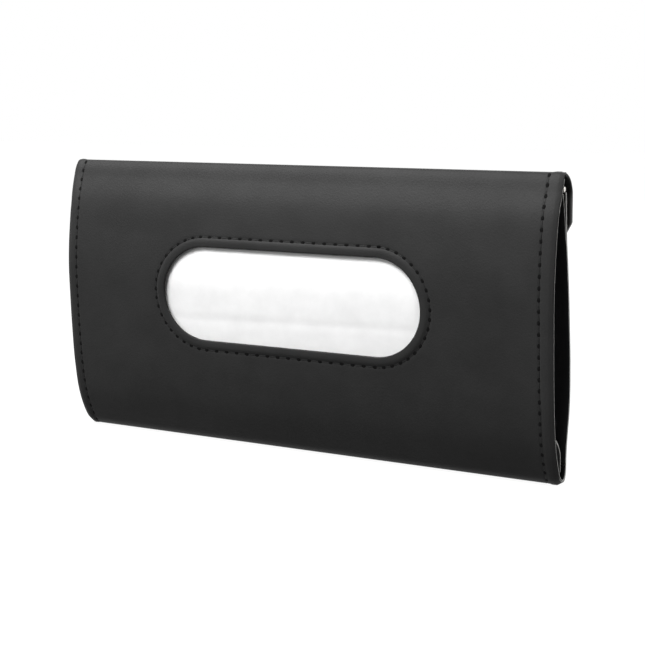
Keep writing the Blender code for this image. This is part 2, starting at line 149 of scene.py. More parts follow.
def white_paper():
    """Uncoated paper: quite matt, so that it shows a shadow and no gleam."""
    material, tree, shader = start_material("white_paper_floor", "#484848", 0.9)
    glow = node(tree, "ShaderNodeMath", [(0, seen_directly(tree))], operation="MULTIPLY")
    glow.inputs[1].default_value = PAPER_GLOW
    white = node(tree, "ShaderNodeEmission", [("Strength", glow.outputs[0])], Color=(1, 1, 1, 1))
    both = node(tree, "ShaderNodeAddShader", [(0, shader.outputs[0]), (1, white.outputs[0])])
    tree.links.new(both.outputs[0], tree.nodes["Material Output"].inputs[0])
    return material


def make_floor():
    built = bmesh.new()
    bmesh.ops.create_grid(built, x_segments=1, y_segments=1, size=3)
    mesh = bpy.data.meshes.new("floor")
    built.to_mesh(mesh)
    built.free()
    floor = bpy.data.objects.new("floor", mesh)
    bpy.context.collection.objects.link(floor)
    mesh.materials.append(white_paper())


def make_world():
    world = bpy.data.worlds.new("studio")
    world.use_nodes = True
    tree = world.node_tree
    background = tree.nodes["Background"]
    background.inputs["Color"].default_value = (1, 1, 1, 1)
    background.inputs["Strength"].default_value = WORLD_LIGHT
    bright = node(tree, "ShaderNodeMapRange", [(0, seen_directly(tree))], To_Min=WORLD_LIGHT)
    tree.links.new(bright.outputs[0], background.inputs["Strength"])
    bpy.context.scene.world = world


make_floor()
make_world()
bpy.context.scene.view_settings.view_transform = "Standard"
print("the world lights the case at", WORLD_LIGHT, "and looks white")

# %% [markdown]
# ## Lamps
# Black leather shows its shape by how its tone falls from the crease to the fold. One large lamp above and
# in front gives that fall, and could light the case alone, but its far side and its edges would be lost.
# So a weak lamp fills the front, one lights the back, and one from the side picks out the cut edges.

# %% Four soft lamps
def area_light(name, place, aim, size, power):
    lamp = bpy.data.lights.new(name, "AREA")
    lamp.shape = "RECTANGLE"
    lamp.size, lamp.size_y = size
    lamp.energy = power
    obj = bpy.data.objects.new(name, lamp)
    bpy.context.collection.objects.link(obj)
    obj.location = place
    obj.rotation_euler = (Vector(place) - Vector(aim)).to_track_quat("Z", "Y").to_euler()


area_light("key_above", (-0.27, -0.38, 0.86), (0, 0, 0.10), (0.9, 0.6), 22)
area_light("fill_front", (-0.4, -1.5, 0.55), (0, 0, 0.06), (0.8, 0.6), 3.8)
area_light("back_light", (0.3, 0.9, 0.8), (0, 0, 0.06), (1.2, 0.6), 7)
area_light("side_light", (1.0, 0.30, 0.50), (0.1, 0, 0.07), (0.5, 0.5), 9)
print("lamps:", len(bpy.data.lights))

# %% [markdown]
# ## The wrap's outline
# The case is one long sheet, folded. Seen from its open end it is a line: down the bulged front, round the
# bottom, up the back, and from the flap's tip over the roof to the crease. The bent sheet could be modelled
# as it hangs, but seams and stitches are easier to place on a flat one. So each sheet is cut flat, in a
# bmesh whose X runs along the case and whose -Y runs along this line, and is then wrapped on the line.

# %% Lines that the sheets are wrapped on
WRAP_DEPTH, CASE_HEIGHT = 24.6 * MM, 125 * MM
LINE_SHIFT = -12.85 * MM  # puts the foremost point of the front in its place
# Each point is a share of the depth, from the front, and a share of the height
FRONT_LINE = [
    (0.524, 0.9984), (0.486, 0.9974), (0.458, 0.9920), (0.309, 0.938), (0.154, 0.872), (0.045, 0.752),
    (0.000, 0.624), (0.022, 0.500), (0.060, 0.376), (0.122, 0.248), (0.252, 0.125), (0.410, 0.055),
    (0.545, 0.015), (0.675, 0.000),
]
FOLD_LINE = [(0.675, 0.000), (0.772, 0.000), (0.846, 0.016), (0.874, 0.040), (0.878, 0.058)]
BACK_LINE = [
    (0.878, 0.058), (0.892, 0.112), (0.948, 0.170), (1.000, 0.220), (1.000, 0.384), (0.930, 0.500),
    (0.850, 0.608), (0.755, 0.712), (0.668, 0.792), (0.622, 0.872), (0.588, 0.936),
]
FLAP_LINE = [
    (0.848, 0.771), (0.824, 0.816), (0.812, 0.872), (0.805, 0.920), (0.790, 0.950), (0.735, 0.975),
    (0.625, 0.992), (0.524, 0.9984),
]


class Line:
    """A smooth line through the points. Lift is the distance out of the sheet's outer face."""

    def __init__(self, shares, start, end, samples=24):
        points = np.array([(d * WRAP_DEPTH + LINE_SHIFT, h * CASE_HEIGHT) for d, h in shares])
        spans = np.linalg.norm(np.diff(points, axis=0), axis=1)
        slopes = np.diff(points, axis=0) / spans[:, None]
        weight = (spans[:-1] / (spans[:-1] + spans[1:]))[:, None]
        lean = np.vstack([start, slopes[:-1] * (1 - weight) + slopes[1:] * weight, end])
        made = []
        for k, span in enumerate(spans):
            t = np.linspace(0, 1, samples, endpoint=False)[:, None]
            made.append((2 * t**3 - 3 * t**2 + 1) * points[k] + (t**3 - 2 * t**2 + t) * lean[k] * span
                        + (3 * t**2 - 2 * t**3) * points[k + 1] + (t**3 - t**2) * lean[k + 1] * span)
        self.points = np.vstack(made + [points[-1:]])
        self.measure()

    def measure(self):
        self.runs = np.concatenate([[0], np.cumsum(np.linalg.norm(np.diff(self.points, axis=0), axis=1))])
        self.length = float(self.runs[-1])
        along = np.gradient(self.points, self.runs, axis=0)
        along /= np.linalg.norm(along, axis=1)[:, None]
        self.outward = np.stack([along[:, 1], -along[:, 0]], axis=1)

    def joined(self, other):
        both = Line.__new__(Line)
        both.points = np.vstack([self.points[:-1], other.points])
        both.measure()
        return both

    def place(self, run, lift):
        out = [np.interp(run, self.runs, self.outward[:, k]) for k in (0, 1)]
        size = np.hypot(*out)
        y, z = (np.interp(run, self.runs, self.points[:, k]) + out[k] / size * lift for k in (0, 1))
        return y, z

    def run_at(self, height):
        """The run at which the line first passes a height, going down or up."""
        heights = self.points[:, 1]
        if heights[0] > heights[-1]:
            first, last = int(heights.argmax()), int(heights.argmin()) + 1
            return float(np.interp(-height, -heights[first:last], self.runs[first:last]))
        return float(np.interp(height, heights, self.runs))


front_line = Line(FRONT_LINE, (-0.98, 0.10), (1, 0)).joined(Line(FOLD_LINE, (1, 0), (0, 1)))
back_line = Line(BACK_LINE, (0, 1), (-0.11, 0.99))
flap_line = Line(FLAP_LINE, (-0.10, 0.99), (-0.98, 0.10))
for title, line in (("front", front_line), ("back", back_line), ("flap", flap_line)):
    print(title, "sheet is", round(line.length / MM, 1), "mm along its line")


# %% [markdown]
# ## Cutting and wrapping
# A maker works on a flat cutting table, and so do we. A sheet starts as a grid, which Blender makes with
# one operator. Everything that is easy on a flat sheet is done there: the opening, its turned edge and the
# marks of the needle. A curve modifier could bend the sheet afterwards, but it would need a second object,
# so a function moves each point to its place on the line, and the piece stays plain.

# %% Helpers for flat sheets
HALF_CASE = 115 * MM
LEATHER = 0.8 * MM
CLOTH = 0.4 * MM
STITCH = 4.5 * MM  # from one needle hole to the next
PER_STITCH = 4  # points of the sheet in one stitch
ROW = STITCH / PER_STITCH
FULLEST = 1.0 * MM  # how far the leather stands off its board at most
CURL = 0.7 * MM  # how far the bottom corners curl up
OUT_OF_SQUARE = 2.2 * MM  # how far the top left corner reaches past the end


def settle(value, start, end):
    """A soft step from 0 at the start to 1 at the end."""
    share = min(max((value - start) / (end - start), 0), 1)
    return share * share * (3 - 2 * share)


def cut_flat(half_width, start, end, columns, rows):
    sheet = bmesh.new()
    bmesh.ops.create_grid(sheet, x_segments=columns, y_segments=rows, size=0.5)
    bmesh.ops.scale(sheet, vec=(2 * half_width, end - start, 1), verts=sheet.verts)
    bmesh.ops.translate(sheet, vec=(0, -(start + end) / 2, 0), verts=sheet.verts)
    return sheet


def cut_line(sheet, x, slant=0.0):
    """Cut a line of points down the sheet from this X, without parting it."""
    bmesh.ops.bisect_plane(sheet, geom=sheet.verts[:] + sheet.edges[:] + sheet.faces[:], dist=0.01 * MM,
                           plane_co=(x, 0, 0), plane_no=(1, slant, 0))


def add_cloth_map(sheet):
    """A UV map in centimetres of flat sheet, for patterns that follow it."""
    layer = sheet.loops.layers.uv.new("flat_cm")
    for face in sheet.faces:
        for loop in face.loops:
            loop[layer].uv = (loop.vert.co.x / (10 * MM), loop.vert.co.y / (10 * MM))


def fullness(run, x):
    """The leather stands off its board, most of all in the middle, and lies close at its borders."""
    height = settle(run, 4 * MM, 52 * MM) * (1 - settle(run, 52 * MM, 114 * MM))
    return FULLEST * height * (1 - 0.85 * settle(abs(x), 60 * MM, 110 * MM))


def wrap(sheet, line):
    """Lay the sheet on its line. The bottom corners curl up, and the top left one is cut out of square."""
    flat = np.array([v.co for v in sheet.verts])
    y, z = line.place(-flat[:, 1], flat[:, 2])
    for vert, here_y, here_z in zip(sheet.verts, y, z):
        side = abs(vert.co.x)
        curl = CURL * settle(side, 112.5 * MM, HALF_CASE) * (1 - settle(here_z, 0, 8 * MM))
        if vert.co.x < 0:
            vert.co.x -= OUT_OF_SQUARE * settle(side, 95 * MM, HALF_CASE) * settle(here_z, 104 * MM, 122 * MM)
        vert.co.y, vert.co.z = here_y, here_z + curl


def make_piece(name, sheet, materials, body=None, stands_for=(), smooth=True):
    """Turn a bmesh into a piece, let it ride on a body and stand for CAD nodes."""
    mesh = bpy.data.meshes.new(name)
    sheet.to_mesh(mesh)
    sheet.free()
    for face in mesh.polygons:
        face.use_smooth = smooth
    for material in materials:
        mesh.materials.append(material)
    piece = bpy.data.objects.new(name, mesh)
    bpy.context.collection.objects.link(piece)
    if body:
        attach(piece, body)
    if stands_for:
        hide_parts(*stands_for)
    print(name, "has", len(mesh.polygons), "faces")
    return piece


def thicken(piece, thickness, rim_material=0, out=-1):
    """Give a sheet its thickness, inwards from its face; its cut edge may have its own material."""
    solid = piece.modifiers.new("thickness", "SOLIDIFY")
    solid.thickness = thickness
    solid.offset = out
    solid.material_offset_rim = rim_material


print("the leather stands", round(fullness(52 * MM, 0) / MM, 2), "mm off its board in the middle")

# %% [markdown]
# ## Leather
# PU leather is a woven backing with a black polyurethane skin, embossed with a fine pebble grain. The skin
# is satin, never shiny, and the cut edge shows the lighter backing. The grain could be a photograph of real
# leather, but that would show seams and blur up close. Soft cells broken up by noise look alike at any
# distance, and their size is set in millimetres.

# %% PU leather and its cut edge
def bumpy(tree, shader, size, depth, strength=0.4):
    """Fine relief: soft cells of the given size, broken up by a finer noise."""
    where = node(tree, "ShaderNodeTexCoord")
    cells = node(tree, "ShaderNodeTexVoronoi", [("Vector", where.outputs["Object"])], Scale=1 / size,
                 feature="SMOOTH_F1", Smoothness=0.6)
    fine = node(tree, "ShaderNodeTexNoise", [("Vector", where.outputs["Object"])], Scale=2.2 / size,
                Detail=3.0)
    both = node(tree, "ShaderNodeMath", [(0, cells.outputs["Distance"]), (1, fine.outputs["Fac"])],
                operation="MULTIPLY")
    bump = node(tree, "ShaderNodeBump", [("Height", both.outputs[0])], Strength=strength, Distance=depth)
    tree.links.new(bump.outputs[0], shader.inputs["Normal"])
    return where


def mottled(tree, shader, where, dark, light, size):
    """A slow drift between two near colours, so that a large face isn't one flat tone."""
    drift = node(tree, "ShaderNodeTexNoise", [("Vector", where.outputs["Object"])], Scale=1 / size,
                 Detail=4.0, Roughness=0.6)
    ramp = node(tree, "ShaderNodeValToRGB", [("Fac", drift.outputs["Fac"])])
    ramp.color_ramp.elements[0].position, ramp.color_ramp.elements[1].position = 0.35, 0.65
    ramp.color_ramp.elements[0].color = (*linear(dark), 1)
    ramp.color_ramp.elements[1].color = (*linear(light), 1)
    tree.links.new(ramp.outputs[0], shader.inputs["Base Color"])


# Black polyurethane skin: satin, with a grain of about 0.8 mm that breaks up its highlights
pu_leather, tree, shader = start_material("embossed_pu_leather", "#2c2c2c", 0.44, Specular_IOR_Level=0.05)
where = bumpy(tree, shader, 0.8 * MM, 0.20 * MM, 0.5)
mottled(tree, shader, where, "#2a2a2a", "#2e2e2e", 18 * MM)

# The cut edge shows the woven backing, greyer and quite matt
cut_edge, tree, shader = start_material("cut_edge_of_pu_leather", "#828280", 0.85)
where = bumpy(tree, shader, 0.4 * MM, 0.10 * MM)
mottled(tree, shader, where, "#747472", "#90908e", 2.5 * MM)
print("leather and its edge are made")

# %% [markdown]
# ## The oval
# The opening is a long oval, straight above and below and round at both ends. A Boolean could cut it, but
# that leaves ragged faces round the edge. Here one function gives any point of the oval, at any distance
# outside its edge, so the lip, the stitches and the lining all follow the same shape.

# %% The oval
OPENING_LENGTH, OPENING_HEIGHT = 122.2 * MM, 41.0 * MM
OPENING_X, OPENING_Z = -1.0 * MM, 68.3 * MM
ROW_MARGIN = 4.4 * MM  # from the opening's edge to its row of stitches
STRAIGHT_SHARE = 64 / 142  # points on the straight sides: stitches are shorter round the ends
opening_run = front_line.run_at(OPENING_Z)
half_opening = (front_line.run_at(OPENING_Z - OPENING_HEIGHT / 2)
                - front_line.run_at(OPENING_Z + OPENING_HEIGHT / 2)) / 2
straight = OPENING_LENGTH / 2 - half_opening


def oval_spot(share, margin):
    """The point at this share of the way round the oval, this far outside its edge."""
    side = 1 if share % 1 < 0.5 else -1
    half_way = (share % 0.5) * 2
    along = min(half_way / STRAIGHT_SHARE, 1)
    turn = math.pi * max(0, half_way - STRAIGHT_SHARE) / (1 - STRAIGHT_SHARE)
    x = straight * (1 - 2 * along) - math.sin(turn) * (half_opening + margin)
    y = math.cos(turn) * (half_opening + margin)
    return OPENING_X + side * x, side * y - opening_run


print("opening:", [round(c / MM, 1) for c in (2 * straight + 2 * half_opening, 2 * half_opening)], "mm")

# %% [markdown]
# ## A window in the grid
# The oval has to join a square grid. Pulling the grid's own points to it would crumple the faces. So a
# rectangle of whole faces is taken out, a ring with just as many points is put in, and the two are bridged.
# From there the ring grows inwards, one extruded loop at a time.

# %% Helpers for the opening
WINDOW_COLUMNS, WINDOW_ROWS = 88, 54  # whole faces taken out round the opening, for 284 points
RING_LIFT = 20 * MM  # keeps the ring clear of the sheet while the two are bridged


def loop_edges(verts):
    """The edges between these points, in the same order on every run."""
    chosen = set(verts)
    return list(dict.fromkeys(edge for vert in verts for edge in vert.link_edges
                              if edge.verts[0] in chosen and edge.verts[1] in chosen))


def cut_window(sheet, columns, rows, half_width, start, end):
    """Take a rectangle of whole faces out round the opening and give back its border's edges."""
    step_x, step_y = 2 * half_width / columns, (end - start) / rows
    left = round((OPENING_X + half_width) / step_x - WINDOW_COLUMNS / 2)
    top = round((opening_run - start) / step_y - WINDOW_ROWS / 2)
    x0, x1 = -half_width + left * step_x, -half_width + (left + WINDOW_COLUMNS) * step_x
    y0, y1 = start + top * step_y, start + (top + WINDOW_ROWS) * step_y

    def inside(face):
        middle = face.calc_center_median()
        return x0 < middle.x < x1 and y0 < -middle.y < y1

    faces = [face for face in sheet.faces if inside(face)]
    edges = dict.fromkeys(edge for face in faces for edge in face.edges)
    border = [edge for edge in edges if sum(inside(face) for face in edge.link_faces) == 1]
    bmesh.ops.delete(sheet, geom=faces, context="FACES")
    return [edge for edge in border if edge.is_valid]


def bridge_oval(sheet, border, margin):
    """Put an oval loop into the window and bridge the two. It is held over the sheet meanwhile."""
    oval = bmesh.ops.create_circle(sheet, segments=len(border), radius=1)["verts"]
    for index, vert in enumerate(oval):
        vert.co = (*oval_spot(index / len(oval), margin), RING_LIFT)
    ring = loop_edges(oval)
    bmesh.ops.bridge_loops(sheet, edges=border + ring)
    bmesh.ops.translate(sheet, verts=oval, vec=(0, 0, -RING_LIFT))
    return ring


def grow_loop(sheet, ring, margin, lift):
    """Extrude a loop of edges and move its new points to a margin outside the opening's edge."""
    grown = bmesh.ops.extrude_edge_only(sheet, edges=ring)["geom"]
    points = [item for item in grown if isinstance(item, bmesh.types.BMVert)]
    for vert in points:
        x, y = vert.co.x - OPENING_X, vert.co.y + opening_run
        core = max(-straight, min(straight, x))
        out = Vector((x - core, y)).normalized() * (half_opening + margin)
        vert.co = (OPENING_X + core + out.x, out.y - opening_run, lift)
    return loop_edges(points)


print("window:", 2 * (WINDOW_COLUMNS + WINDOW_ROWS), "points round it")

# %% [markdown]
# ## Needle marks
# A row of stitches pulls the leather down into a shallow channel, and each needle hole is a small pit. A
# bump could draw them, but only a real pit casts a real shadow. So lines are cut along the row, its points
# are pressed down, and one point in each stitch goes deeper, as the hole.

# %% Needle marks
CHANNEL, HOLE = 0.16 * MM, 0.50 * MM  # depths


def sew_down(sheet, x, slant=0.0):
    """Press a sewn channel into the sheet from this X and give back its needle holes."""
    for offset in (-0.95, -0.4, 0, 0.4, 0.95):
        cut_line(sheet, x + offset * MM, slant)
    off = {vert: abs(vert.co.x + slant * vert.co.y - x) for vert in sheet.verts}
    holes = []
    row = sorted((vert for vert in off if off[vert] < 0.02 * MM), key=lambda v: -v.co.y)
    for index, vert in enumerate(row):
        is_hole = index % PER_STITCH == PER_STITCH // 2
        vert.co.z -= HOLE if is_hole else CHANNEL
        if is_hole:
            holes.append((vert.co.x, vert.co.y))
    for vert in off:
        if abs(off[vert] - 0.4 * MM) < 0.02 * MM:
            vert.co.z -= 0.6 * CHANNEL
    return holes


def soften_ends(sheet):
    """Round the cut ends off a little, as a blade leaves them."""
    for inset in (0.3, 0.9, 2.0):
        for side in (-1, 1):
            cut_line(sheet, side * (HALF_CASE - inset * MM))
    for vert in sheet.verts:
        near = max(0.0, 1 - (HALF_CASE - abs(vert.co.x)) / (2.0 * MM))
        vert.co.z -= 0.28 * MM * near * near


print("needle holes are", round(HOLE / MM, 2), "mm deep")

# %% [markdown]
# ## The front's leather
# The opening isn't a bare hole. The leather is turned in round it, so its edge is a smooth dark roll, and the
# margin up to the stitches is padded by what is turned in. A bevel can't roll the edge of a sheet over, so
# the ring is carried round half a circle, loop by loop, and ends as a flange under the leather.

# %% Front leather with its opening
FRONT_COLUMNS = 134
LIP_ROLL = 0.65 * MM  # radius of the rolled lip
LIP_FLANGE = 1.15 * MM
PUFF = 0.42 * MM  # how far the padded margin stands out
LEFT_ROW, RIGHT_ROW = 4.5 * MM, 6.1 * MM  # from each end to its row of stitches
RIGHT_SLANT = 0.006  # the right row was sewn a little out of square
front_end = front_line.length - 0.005 * MM
front_rows = round(front_end / ROW)


def make_front_leather():
    sheet = cut_flat(HALF_CASE, 0, front_end, FRONT_COLUMNS, front_rows)
    border = cut_window(sheet, FRONT_COLUMNS, front_rows, HALF_CASE, 0, front_end)
    ring = bridge_oval(sheet, border, ROW_MARGIN + 2.2 * MM)
    for margin, lift in ((1.0, 0), (0.45, -0.5 * CHANNEL), (0.0, -CHANNEL)):
        ring = grow_loop(sheet, ring, ROW_MARGIN + margin * MM, lift)
    row = {vert for edge in ring for vert in edge.verts}
    for margin, lift in ((-0.45, -0.3 * CHANNEL), (-1.1, 0.7 * PUFF), (-1.9, PUFF), (-2.8, 0.9 * PUFF)):
        ring = grow_loop(sheet, ring, ROW_MARGIN + margin * MM, lift)
    for step in range(9):
        turn = math.pi * step / 8
        lift = 0.6 * PUFF + LIP_ROLL * (math.cos(turn) - 1)
        ring = grow_loop(sheet, ring, LIP_ROLL * (1 - math.sin(turn)), lift)
    grow_loop(sheet, ring, LIP_FLANGE, lift)

    count = len(row)
    spots = [oval_spot(index / count, ROW_MARGIN) for index in range(PER_STITCH // 2, count, PER_STITCH)]
    for x, y in spots:
        nearest = min(row, key=lambda v: (v.co.x - x) ** 2 + (v.co.y - y) ** 2)
        nearest.co.z = -HOLE
    left = sew_down(sheet, -HALF_CASE + LEFT_ROW)
    right = sew_down(sheet, HALF_CASE - RIGHT_ROW, RIGHT_SLANT)
    soften_ends(sheet)
    for vert in sheet.verts:
        margin = (HALF_CASE - abs(vert.co.x)) / ((4.1 if vert.co.x < 0 else 5.3) * MM)
        puffed = 0.3 * MM * math.sin(math.pi * min(margin, 1))
        vert.co.z += fullness(-vert.co.y, vert.co.x) + puffed
    wrap(sheet, front_line)
    bmesh.ops.recalc_face_normals(sheet, faces=sheet.faces)
    return sheet, spots, left, right


sheet, oval_holes, left_holes, right_holes = make_front_leather()
front_leather = make_piece("front_leather", sheet, [pu_leather, cut_edge], "front", ["front_cover"])
thicken(front_leather, LEATHER, 1)

# %% [markdown]
# ## Thread
# The rows are sewn with black polyester thread. It could be one material, but the thread in a needle hole
# lies in the dark, far below the skin, and a hole in a thin sheet isn't deep enough to cast that shade. So a
# second, darker material paints the shade in each hole onto the thread.

# %% Sewing thread
# Polyester sewing thread, 0.35 mm, black with a dull shine that sets it off from the leather
sewing_thread, tree, shader = start_material("black_polyester_thread", "#0e0e0e", 0.55,
                                             Specular_IOR_Level=0.2)
bumpy(tree, shader, 0.25 * MM, 0.05 * MM)

# Painted shade: the black thread in a needle hole, darkened to the shadow deep in the hole
painted_hole_shade, tree, shader = start_material("thread_with_painted_hole_shade", "#070707", 0.9, Specular_IOR_Level=0.1)
bumpy(tree, shader, 0.25 * MM, 0.05 * MM)
print("thread and needle holes have their materials")

# %% [markdown]
# ## Rows of stitches
# In lockstitch the thread dips into a hole, then lies on the leather to the next one. A curve for each stitch
# would be many heavy pieces. A small ball of few faces, drawn out long, does for a stitch, and a flat ball in
# the painted-shade material fills each hole. They are laid on the flat sheet and wrapped as one piece.

# %% Stitches along the front
THREAD = 0.20 * MM  # half the width of a stitch
THREAD_SHARE = 0.40  # half a stitch's length, as a share of the way from hole to hole
HOLE_SIZE = (1.00 * MM, 0.80 * MM, 0.18 * MM)  # half sizes, drawn a little wide so that they show
SUNK = 0.12 * MM  # how far the thread is drawn into the leather


def small_ball():
    built = bmesh.new()
    bmesh.ops.create_icosphere(built, subdivisions=2, radius=1)
    mesh = bpy.data.meshes.new("ball")
    built.to_mesh(mesh)
    built.free()
    return mesh


BALL = small_ball()


def lay_ball(sheet, middle, size, angle, lift, slot=0):
    """Add the ball, drawn out to a size along an angle, to the sheet."""
    copy = BALL.copy()
    copy.transform(Matrix.LocRotScale((*middle, lift), Matrix.Rotation(angle, 3, "Z"), size))
    copy.polygons.foreach_set("material_index", [slot] * len(copy.polygons))
    sheet.from_mesh(copy)
    bpy.data.meshes.remove(copy)


def sew_rows(name, rows, line, body, closed=False, lift=0.0):
    """Stitches from hole to hole along each row, wrapped on the line."""
    sheet = bmesh.new()
    for holes in rows:
        turn = 0.0
        for here, there in zip(holes, holes[1:] + (holes[:1] if closed else [])):
            along = Vector(there) - Vector(here)
            turn = math.atan2(along.y, along.x)
            middle = (Vector(here) + Vector(there)) / 2
            lay_ball(sheet, middle, (along.length * THREAD_SHARE, THREAD, THREAD), turn, lift - SUNK)
            # Slot 1 paints the shade deep in the needle hole over the black thread
            lay_ball(sheet, here, HOLE_SIZE, turn, lift - SUNK, 1)
        lay_ball(sheet, holes[-1], HOLE_SIZE, turn, lift - SUNK, 1)
    if line is front_line:
        for vert in sheet.verts:
            vert.co.z += fullness(-vert.co.y, vert.co.x)
    wrap(sheet, line)
    return make_piece(name, sheet, [sewing_thread, painted_hole_shade], body)


sew_rows("opening_stitches", [oval_holes], front_line, "front", closed=True)
sew_rows("front_end_stitches", [left_holes, right_holes], front_line, "front")

# %% [markdown]
# ## Back leather
# The back panel swings on the bottom fold of the one big sheet, and a stiff piece would tear away from the
# front there. Here the back's leather is one piece, wrapped on its own line and given no body. Under each
# elastic band it is pressed down a little.

# %% Back leather
BAND_MIDDLE, BAND_HALF = 60 * MM, 12.5 * MM
BAND_PRESS = 0.32 * MM
BACK_ROW = 5.0 * MM  # from each end to its row of stitches
band_start, band_end = back_line.run_at(12.5 * MM), back_line.run_at(93 * MM)


def make_back_leather():
    start = 0.005 * MM
    rows = round((back_line.length - start) / ROW)
    sheet = cut_flat(HALF_CASE, start, back_line.length, 76, rows)
    holes = [sew_down(sheet, side * (HALF_CASE - BACK_ROW)) for side in (-1, 1)]
    soften_ends(sheet)
    for side in (-1, 1):
        for edge in (-1, 1):
            for gap in (0.2, 1.2):
                cut_line(sheet, side * BAND_MIDDLE + edge * (BAND_HALF + gap * MM))
    for vert in sheet.verts:
        across = abs(abs(vert.co.x) - BAND_MIDDLE)
        if across < BAND_HALF + 0.3 * MM and band_start - 0.4 * MM < -vert.co.y < band_end + 0.4 * MM:
            vert.co.z -= BAND_PRESS
    wrap(sheet, back_line)
    bmesh.ops.recalc_face_normals(sheet, faces=sheet.faces)
    return sheet, holes


sheet, back_holes = make_back_leather()
back_leather = make_piece("back_leather", sheet, [pu_leather, cut_edge], None, ["back_cover"])
thicken(back_leather, LEATHER, 1)
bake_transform(back_leather)
above_fold = [[spot for spot in row if -spot[1] > 4 * MM] for row in back_holes]
sew_rows("back_end_stitches", above_fold, back_line, "back_panel")

# %% [markdown]
# ## Woven finishes
# The bands are woven elastic and the lining is a plain-woven cloth. Real threads could be modelled, but
# there would be thousands. Two crossed waves on the sheet's own flat map give the same relief and the same
# slight change of tone, and they bend with the sheet.

# %% Weave and elastic
def wave_scale(gap):
    """A wave texture's bands lie pi / 10 / Scale apart, on a map in centimetres."""
    return math.pi / 10 / (gap / (10 * MM))


def woven(tree, shader, gaps, operation, strength, depth, tones):
    """Relief and tone of crossed threads, whose gaps are given along X and along Y of the flat sheet."""
    where = node(tree, "ShaderNodeTexCoord")
    warp = node(tree, "ShaderNodeTexWave", [("Vector", where.outputs["UV"])], Scale=wave_scale(gaps[0]),
                bands_direction="X")
    weft = node(tree, "ShaderNodeTexWave", [("Vector", where.outputs["UV"])], Scale=wave_scale(gaps[1]),
                bands_direction="Y")
    weave = node(tree, "ShaderNodeMath", [(0, warp.outputs["Fac"]), (1, weft.outputs["Fac"])],
                 operation=operation)
    bump = node(tree, "ShaderNodeBump", [("Height", weave.outputs[0])], Strength=strength, Distance=depth)
    tree.links.new(bump.outputs[0], shader.inputs["Normal"])
    tint = node(tree, "ShaderNodeMix", [("Factor", weave.outputs[0])], data_type="RGBA")
    for socket, tone in zip(("A", "B"), tones):
        tint.inputs[socket].default_value = (*linear(tone), 1)
    tree.links.new(tint.outputs["Result"], shader.inputs["Base Color"])


# Woven elastic, 25 mm wide: ribs over rubber threads, matt with a faint sheen. The ribs are drawn about
# 2 mm apart, coarser than real ones, so that they show
RIB_GAP, PICK_GAP = 1.9635 * MM, 1.2083 * MM
woven_elastic, tree, shader = start_material("black_woven_elastic", "#1f1f20", 0.8, Sheen_Weight=0.25)
woven(tree, shader, (RIB_GAP, PICK_GAP), "MULTIPLY", 0.7, 0.25 * MM, ("#161617", "#29292a"))
print("wave scale of the ribs:", round(wave_scale(RIB_GAP), 3))

# %% [markdown]
# ## Elastic bands
# Two bands on the back hold a sun visor. Each lies flat on the leather while the case is off the car, and is
# sewn on at both ends with a crossed box, where the thread draws it down. A grid with a thickness and a
# softened edge is enough for a flat strip.

# %% Elastic bands
BAND_LIFT = 1.08 * MM
BAND_THICK = 0.75 * MM
SEWN_LENGTH, SEWN_PRESS = 14 * MM, 0.35 * MM


def lay_cloth(sheet, line):
    """Map the flat sheet, lay it on its line and turn its faces outwards."""
    add_cloth_map(sheet)
    wrap(sheet, line)
    bmesh.ops.recalc_face_normals(sheet, faces=sheet.faces)


def march(points, step=STITCH):
    """Evenly spaced holes along a way through the points."""
    points = [Vector(p) for p in points]
    total = sum((b - a).length for a, b in zip(points, points[1:]))
    count = max(1, round(total / step))
    spots, done, leg = [], 0.0, 0
    for index in range(count + 1):
        want = total * index / count
        while leg < len(points) - 2 and want > done + (points[leg + 1] - points[leg]).length:
            done += (points[leg + 1] - points[leg]).length
            leg += 1
        way = points[leg + 1] - points[leg]
        spots.append(tuple(points[leg] + way * min(1.0, (want - done) / way.length)))
    return spots


def make_band(name, side):
    sheet = cut_flat(BAND_HALF, band_start, band_end, 20, 60)
    bmesh.ops.translate(sheet, vec=(side * BAND_MIDDLE, 0, 0), verts=sheet.verts)
    for vert in sheet.verts:
        share = (-vert.co.y - band_start) / (band_end - band_start)
        near_end = min(share, 1 - share) * (band_end - band_start)
        sewn = min(1.0, max(0.0, (SEWN_LENGTH - near_end) / (3 * MM)))
        vert.co.z = BAND_LIFT - SEWN_PRESS * sewn
    lay_cloth(sheet, back_line)
    band = make_piece(name, sheet, [woven_elastic], "back_panel", ["elastic_" + name])
    thicken(band, BAND_THICK)
    soft = band.modifiers.new("soft edge", "BEVEL")
    soft.width, soft.segments, soft.limit_method = 0.25 * MM, 2, "ANGLE"


def box_rows(middle, near, far):
    """A box with a cross in it, as bands are sewn on."""
    x0, x1 = middle - BAND_HALF + 2 * MM, middle + BAND_HALF - 2 * MM
    a, b, c, d = (x0, -near), (x1, -near), (x1, -far), (x0, -far)
    return [march(way, 2.6 * MM) for way in ([a, b, c, d, a], [a, c], [b, d])]


for name, side in (("band_left", -1), ("band_right", 1)):
    make_band(name, side)
    rows = box_rows(side * BAND_MIDDLE, band_start + 2 * MM, band_start + 12 * MM)
    rows += box_rows(side * BAND_MIDDLE, band_end - 12 * MM, band_end - 2 * MM)
    sew_rows(name + "_stitches", rows, back_line, "back_panel", lift=0.95 * MM)

# %% [markdown]
# ## Flap
# The flap is a stiff board in leather whose edges are turned over it, so it has a thick, soft rim. Its lower
# corners are cut off, and its roof is thinner, so that it bends at the crease. A thickened sheet would have
# square edges all round. So the sheet is extruded to a slab whose depth follows the run, and its rim is
# bevelled, except along the crease, where it meets the front.

# %% Flap leather
ROOF_THICK, FLAP_THICK = 1.45 * MM, 3.3 * MM
FLAP_HALF = 116 * MM
CORNER_X, CORNER_RUN = 4.5 * MM, 8.4 * MM
roof_run = flap_line.run_at(117 * MM)


